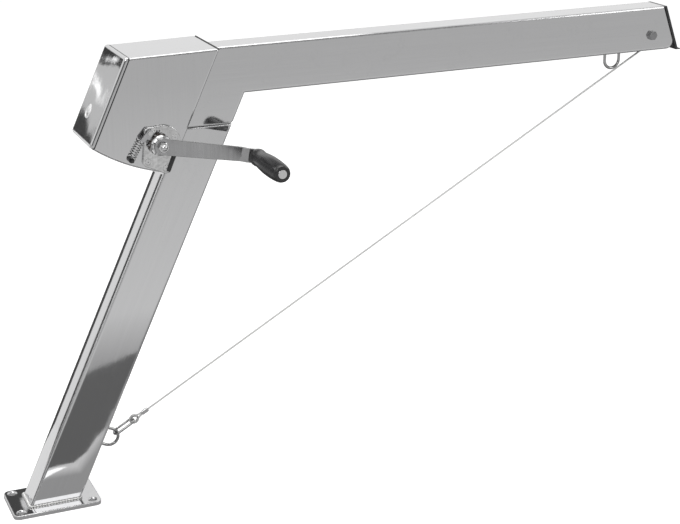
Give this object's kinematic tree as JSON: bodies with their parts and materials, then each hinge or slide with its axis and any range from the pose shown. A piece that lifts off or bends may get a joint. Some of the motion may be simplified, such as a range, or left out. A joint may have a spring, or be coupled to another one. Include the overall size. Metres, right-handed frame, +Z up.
{
  "type": "lifting davit",
  "caption": "Lifting davit with a leaning column, a long boom, an enclosed hand winch with a crank, a tip sheave and a steel cable hooked back to the column.",
  "frame": {"origin": "centre of the base plate's underside, in the middle of its four bolt holes", "axes": "+X outboard along the boom, +Z up, square to the base plate; the crank is on the -Y side"},
  "size_m": [1.4559, 0.3073, 0.8751],
  "materials": {
    "polished_steel": "mirror polished stainless steel",
    "plain_steel": "machined, satin",
    "wire_rope": "laid stainless wire rope",
    "bronze": "turned, satin",
    "lining": "matt brake lining",
    "black_grip": "glossy black",
    "black_nylon": "satin black moulding"
  },
  "bodies": {
    "frame_body": {"base_plate": "polished_steel", "column": "polished_steel", "arm": "polished_steel", "winch_housing": "polished_steel", "rear_cover": "polished_steel", "winch_frame": "plain_steel", "frame_bolts": "plain_steel", "frame_nuts": "plain_steel", "drum_axle": "plain_steel", "axle_nut": "plain_steel", "drum_spacers": "plain_steel", "shaft_bushes": "bronze", "hub_bracket": "polished_steel", "hub_screws": "polished_steel", "pawl_pin": "polished_steel", "pawl_spring": "plain_steel", "spring_anchor_pin": "black_grip", "sheave_bolt": "polished_steel", "sheave_nut": "polished_steel", "sheave_spacers": "black_nylon", "tip_cap": "black_nylon", "arm_eye": "polished_steel", "arm_eye_nuts": "polished_steel", "column_eye": "polished_steel", "column_eye_nuts": "polished_steel", "hoist_cable": "wire_rope", "cable_eye": "wire_rope", "thimble": "polished_steel", "ferrule": "polished_steel", "snap_hook": "polished_steel", "gate_pin": "polished_steel"},
    "crank": {"crank_shaft": "plain_steel", "pinion": "plain_steel", "shaft_circlip": "plain_steel", "friction_discs": "lining", "ratchet_wheel": "plain_steel", "pressure_plate": "polished_steel", "crank_arm": "polished_steel", "crank_nut": "polished_steel", "grip_spindle": "polished_steel"},
    "grip_body": {"grip": "black_grip"},
    "drum_body": {"drum": "plain_steel", "drum_bushes": "bronze", "drum_gear": "plain_steel", "gear_screws": "plain_steel", "cable_on_drum": "wire_rope"},
    "sheave_body": {"tip_sheave": "black_nylon", "sheave_bush": "bronze"},
    "pawl_body": {"pawl": "plain_steel"},
    "gate_body": {"hook_gate": "polished_steel"},
    "lock_body": {"cover_lock": "polished_steel"}
  },
  "joints": [
    {"name": "drum_turn", "type": "hinge", "parent": "frame_body", "child": "drum_body", "pos_m": [0.22047, 0, 0.7818], "axis": [0, 1, 0], "continuous": true},
    {"name": "crank_turn", "type": "hinge", "parent": "frame_body", "child": "crank", "pos_m": [0.22348, 0, 0.70686], "axis": [0, 1, 0], "continuous": true},
    {"name": "sheave_turn", "type": "hinge", "parent": "frame_body", "child": "sheave_body", "pos_m": [1.29672, 0, 0.8168], "axis": [0, 1, 0], "continuous": true},
    {"name": "grip_spin", "type": "hinge", "parent": "crank", "child": "grip_body", "pos_m": [0.40005, 0, 0.6719], "axis": [0, 1, 0], "continuous": true},
    {"name": "pawl_swing", "type": "hinge", "parent": "frame_body", "child": "pawl_body", "pos_m": [0.2057, 0, 0.73044], "axis": [0, 1, 0], "range_deg": [0, 14], "stiffness_Nm_per_rad": 0.05, "springref_deg": -20.05},
    {"name": "gate_swing", "type": "hinge", "parent": "frame_body", "child": "gate_body", "pos_m": [0.15818, 0.009, 0.13471], "axis": [-0.4946, 0, 0.8691], "range_deg": [0, 25], "stiffness_Nm_per_rad": 0.02, "springref_deg": -20.05},
    {"name": "lock_turn", "type": "hinge", "parent": "frame_body", "child": "lock_body", "pos_m": [0.12143, 0.024, 0.7626], "axis": [0.9085, 0, -0.4179], "range_deg": [0, 90]}
  ],
  "couplings": [
    {"joint": "crank_turn", "follows": "drum_turn", "ratio": -4},
    {"joint": "sheave_turn", "follows": "drum_turn", "ratio": 1.0875}
  ]
}
